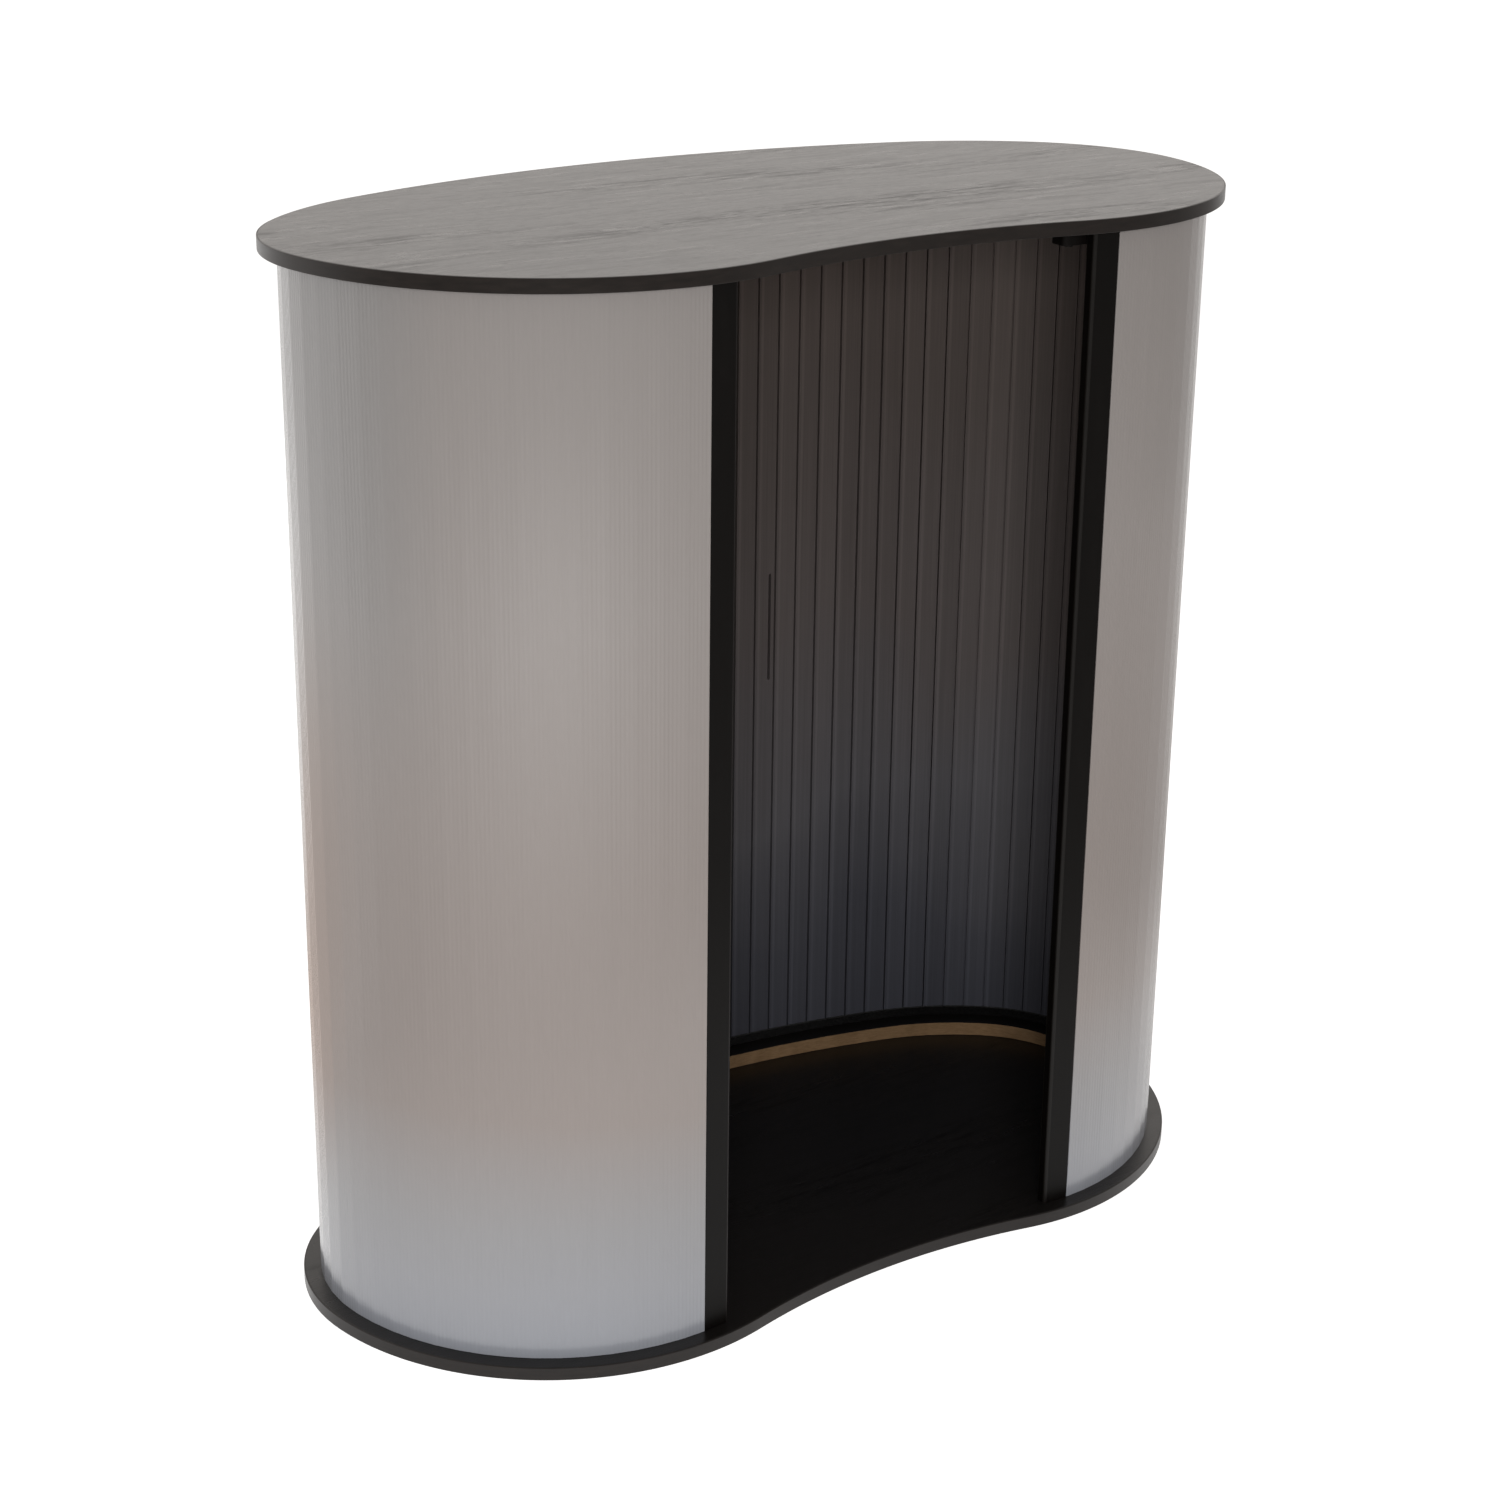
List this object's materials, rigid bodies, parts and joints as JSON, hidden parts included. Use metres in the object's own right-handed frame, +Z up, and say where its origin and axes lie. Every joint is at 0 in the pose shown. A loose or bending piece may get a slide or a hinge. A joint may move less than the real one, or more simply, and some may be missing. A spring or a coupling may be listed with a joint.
{
  "type": "exhibition counter",
  "caption": "Free-standing kidney-shaped exhibition counter: flat worktop and base joined by a wrapped slatted wall, open at the hollow rear, with a turn catch under the top.",
  "frame": {"origin": "centre of the bounding box on the underside of the base", "axes": "+Z up, +X along the counter to the catch side, +Y to the convex front, so that the open hollow side faces -Y"},
  "size_m": [0.9746, 0.4983, 1],
  "materials": {
    "black_ash_laminate": "satin, faint grain",
    "black_edge_band": "satin",
    "raw_fibreboard": "raw matt",
    "silver_ribbed_skin": "fine upright ribs, satin",
    "dark_slat": "satin, faint upright grain",
    "black_profile": "satin",
    "black_hook_and_loop": "matt pile",
    "black_moulding": "satin",
    "zinc_plated_steel": "satin",
    "blackened_steel": "black zinc, satin"
  },
  "bodies": {
    "counter": {"base_panel": "black_ash_laminate", "base_edge_band": "black_edge_band", "base_ring": "raw_fibreboard", "foot_hook_tape": "black_hook_and_loop", "foot_loop_tape": "black_hook_and_loop", "wrap_skin": "silver_ribbed_skin", "left_rear_slats": "dark_slat", "left_end_slats": "dark_slat", "front_slats": "dark_slat", "right_end_slats": "dark_slat", "right_rear_slats": "dark_slat", "slotted_slat": "dark_slat", "left_post": "black_profile", "right_post": "black_profile", "head_loop_tape": "black_hook_and_loop", "head_hook_tape": "black_hook_and_loop", "top_ring": "raw_fibreboard", "top_panel": "black_ash_laminate", "top_edge_band": "black_edge_band", "catch_washer": "zinc_plated_steel", "catch_screw": "blackened_steel", "catch_stud": "zinc_plated_steel", "base_ring_screw_1": "zinc_plated_steel", "base_ring_screw_2": "zinc_plated_steel", "base_ring_screw_3": "zinc_plated_steel", "base_ring_screw_4": "zinc_plated_steel", "base_ring_screw_5": "zinc_plated_steel", "base_ring_screw_6": "zinc_plated_steel", "top_ring_screw_1": "zinc_plated_steel", "top_ring_screw_2": "zinc_plated_steel", "top_ring_screw_3": "zinc_plated_steel", "top_ring_screw_4": "zinc_plated_steel", "top_ring_screw_5": "zinc_plated_steel", "top_ring_screw_6": "zinc_plated_steel", "left_post_screw_1": "zinc_plated_steel", "left_post_screw_2": "zinc_plated_steel", "left_post_screw_3": "zinc_plated_steel", "right_post_screw_1": "zinc_plated_steel", "right_post_screw_2": "zinc_plated_steel", "right_post_screw_3": "zinc_plated_steel"},
    "catch": {"turn_catch": "black_moulding"}
  },
  "joints": [
    {"name": "catch_turn", "type": "hinge", "parent": "counter", "child": "catch", "pos_m": [0.18585, -0.20563, 0.97865], "axis": [0, 0, 1], "range_deg": [0, 90]}
  ]
}
